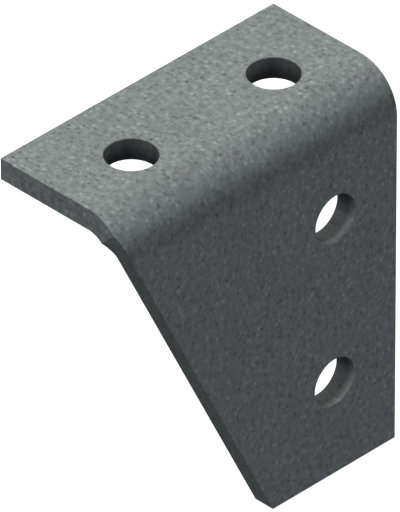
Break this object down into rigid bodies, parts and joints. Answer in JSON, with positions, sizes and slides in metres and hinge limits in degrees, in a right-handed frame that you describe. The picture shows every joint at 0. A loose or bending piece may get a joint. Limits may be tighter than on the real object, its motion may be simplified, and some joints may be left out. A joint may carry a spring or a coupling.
{
  "type": "strut angle fitting",
  "caption": "Right-angle fitting folded from thick galvanised plate: a flange with bolt holes along the fold and a tall leg that tapers from the flange to a narrow foot.",
  "frame": {"origin": "midway between the flange's two bolt holes, on the flange's upper face", "axes": "+X out through the leg's outer face, +Y along the fold towards the square end, +Z out of the flange's upper face"},
  "size_m": [0.041, 0.09, 0.105],
  "materials": {
    "galvanised_plate": "hot-dip galvanised, matt grey with a fine crystal fleck"
  },
  "bodies": {
    "root": {"angle_fitting": "galvanised_plate"}
  },
  "joints": []
}
